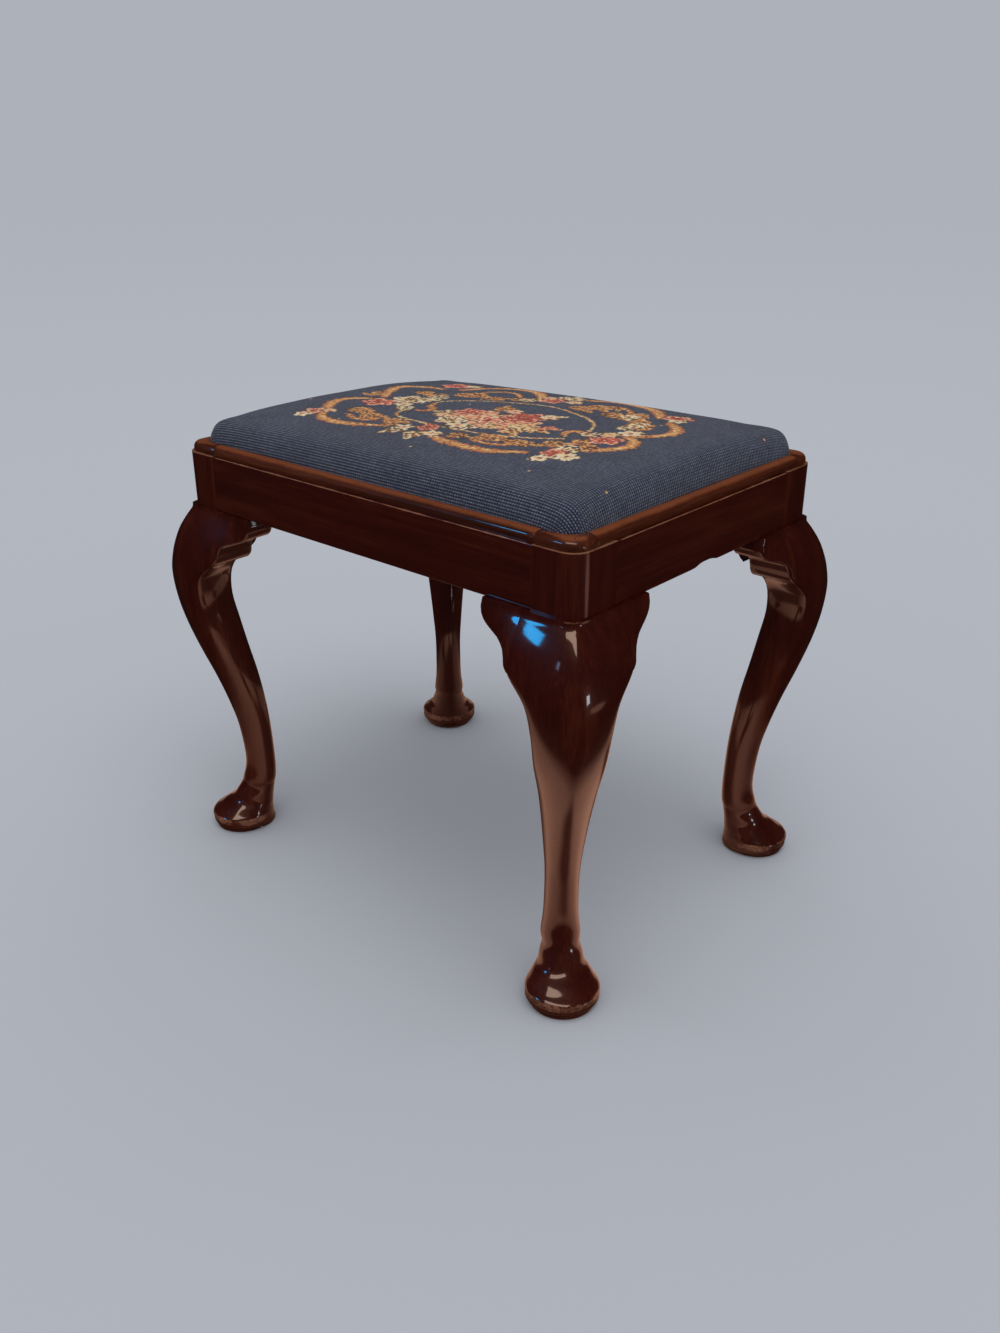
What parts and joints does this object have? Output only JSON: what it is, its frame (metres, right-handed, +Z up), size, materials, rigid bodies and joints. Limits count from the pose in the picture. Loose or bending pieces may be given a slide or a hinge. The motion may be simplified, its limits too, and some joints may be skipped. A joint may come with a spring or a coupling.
{
  "type": "upholstered stool",
  "caption": "Rectangular upholstered stool: mahogany frame on cabriole legs with pad feet, and a lift-out seat covered in floral needlepoint.",
  "frame": {"origin": "centre of the footprint, on the floor", "axes": "+X along the length, +Y from the front long rail to the back one, +Z up"},
  "size_m": [0.5622, 0.4342, 0.4845],
  "materials": {
    "mahogany": "very dark reddish-brown stain under a glossy polish, worn lighter and orange-brown on knees, ankles and edges",
    "worn_mahogany": "rubbed orange-brown polish",
    "beech": "bare planed wood, darkened with age",
    "steel": "dull, slightly blued",
    "jute_webbing": "coarse twill strap",
    "hessian": "open plain weave",
    "hair": "curled hair under a thin wadding",
    "calico": "unbleached plain weave",
    "needlepoint": "wool needlepoint, navy ground with gold scrolls and rose, pink and cream flowers",
    "cambric": "thin black glazed cotton"
  },
  "bodies": {
    "frame": {"leg_front_right": "mahogany", "leg_front_left": "mahogany", "leg_back_right": "mahogany", "leg_back_left": "mahogany", "rail_front": "mahogany", "rail_back": "mahogany", "rail_right": "mahogany", "rail_left": "mahogany", "knee_block_front_right_long": "mahogany", "knee_block_front_right_short": "mahogany", "knee_block_front_left_long": "mahogany", "knee_block_front_left_short": "mahogany", "knee_block_back_right_long": "mahogany", "knee_block_back_right_short": "mahogany", "knee_block_back_left_long": "mahogany", "knee_block_back_left_short": "mahogany", "moulding_front": "worn_mahogany", "moulding_back": "worn_mahogany", "moulding_right": "worn_mahogany", "moulding_left": "worn_mahogany", "moulding_corner_front_right": "worn_mahogany", "moulding_corner_front_left": "worn_mahogany", "moulding_corner_back_right": "worn_mahogany", "moulding_corner_back_left": "worn_mahogany", "moulding_pins": "steel", "brace_front_right": "beech", "brace_front_left": "beech", "brace_back_right": "beech", "brace_back_left": "beech", "brace_screws": "steel"},
    "seat": {"seat_frame_front": "beech", "seat_frame_back": "beech", "seat_frame_right": "beech", "seat_frame_left": "beech", "seat_dowels": "beech", "webbing_long_front": "jute_webbing", "webbing_long_middle": "jute_webbing", "webbing_long_back": "jute_webbing", "webbing_cross_outer_left": "jute_webbing", "webbing_cross_left": "jute_webbing", "webbing_cross_right": "jute_webbing", "webbing_cross_outer_right": "jute_webbing", "webbing_tacks": "steel", "hessian": "hessian", "stuffing": "hair", "calico": "calico", "seat_cover": "needlepoint", "cover_tacks": "steel", "dust_cloth": "cambric"}
  },
  "joints": [
    {"name": "seat_lift", "type": "slide", "parent": "frame", "child": "seat", "axis": [0, 0, 1], "range_m": [0, 0.08]}
  ]
}
